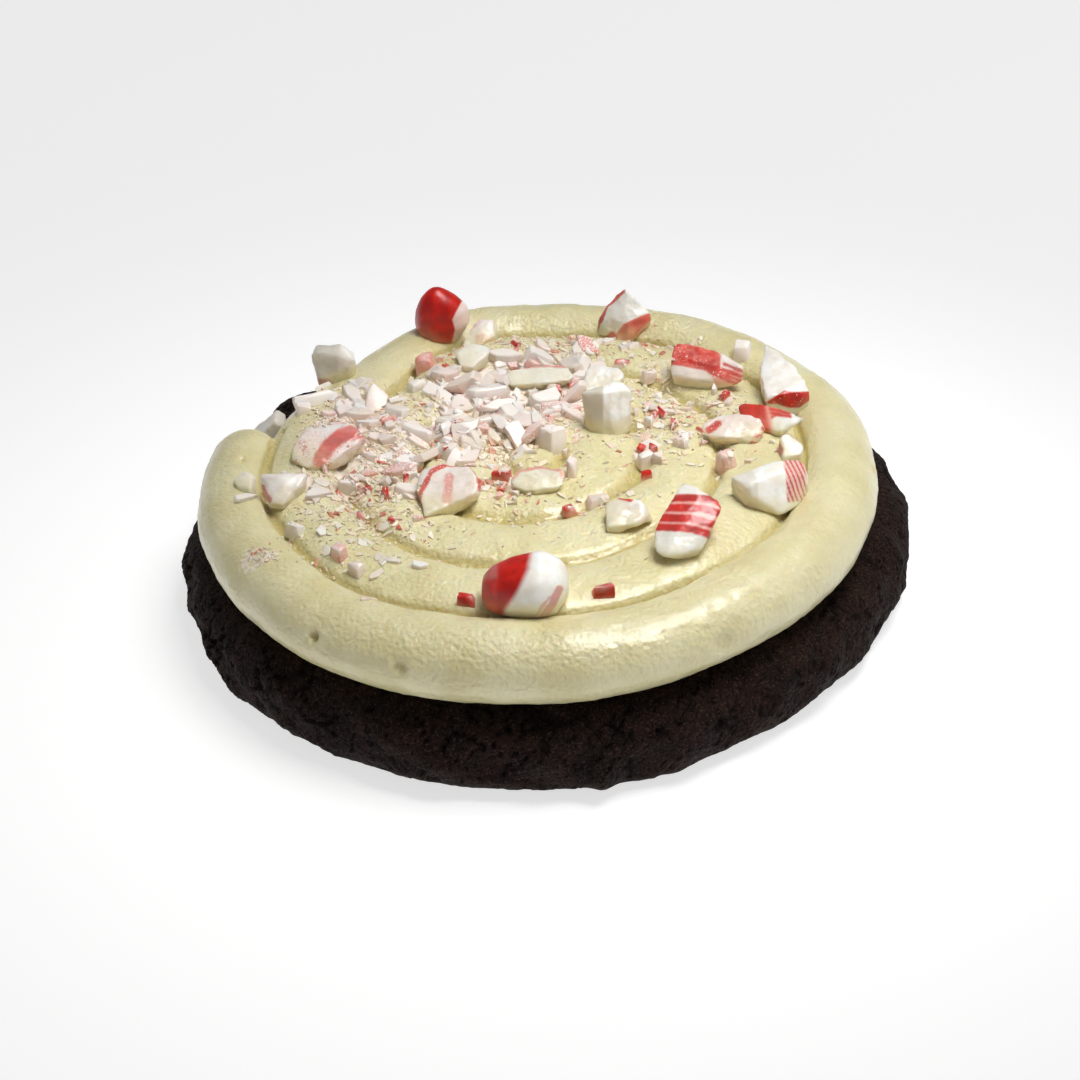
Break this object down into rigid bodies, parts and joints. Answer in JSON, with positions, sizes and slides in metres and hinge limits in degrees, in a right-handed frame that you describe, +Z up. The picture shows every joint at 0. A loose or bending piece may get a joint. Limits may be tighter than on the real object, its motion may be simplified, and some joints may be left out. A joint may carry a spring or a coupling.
{
  "type": "peppermint frosted chocolate cookie",
  "caption": "Round dark chocolate cookie with cream frosting piped in a flat spiral and broken red and white peppermint candy cane scattered on top.",
  "frame": {"origin": "middle of the bounding box in plan, on the flat underside of the biscuit", "axes": "+Z up through the cookie, the shortest extent; +X to the right and +Y away from the viewer of the picture"},
  "size_m": [0.0908, 0.091, 0.0251],
  "materials": {
    "biscuit": "rough, crumbly dark chocolate dough",
    "frosting": "smooth, slightly moist cream frosting",
    "candy_red": "glossy hard candy, red",
    "candy_pink": "powdery hard candy, pink and white",
    "candy_white": "satin hard candy, white with red stripes"
  },
  "bodies": {
    "root": {"biscuit": "biscuit", "frosting": "frosting", "tall_red_cap": "candy_red", "pale_chip": "candy_pink", "white_chip": "candy_white", "pointed_tooth": "candy_white", "grey_cube": "candy_white", "notch_chip": "candy_white", "lens_slab": "candy_white", "white_slab": "candy_white", "upright_block": "candy_white", "smeared_slab": "candy_red", "white_wedge": "candy_white", "red_curved_chip": "candy_red", "pink_end_piece": "candy_pink", "small_white_piece": "candy_white", "striped_block": "candy_white", "striped_slab": "candy_red", "pointed_shard": "candy_white", "round_cane_section": "candy_white", "pink_facet": "candy_pink", "powdery_block": "candy_pink", "jagged_white_piece": "candy_white", "rim_chip": "candy_white", "curved_chip": "candy_white"}
  },
  "joints": []
}
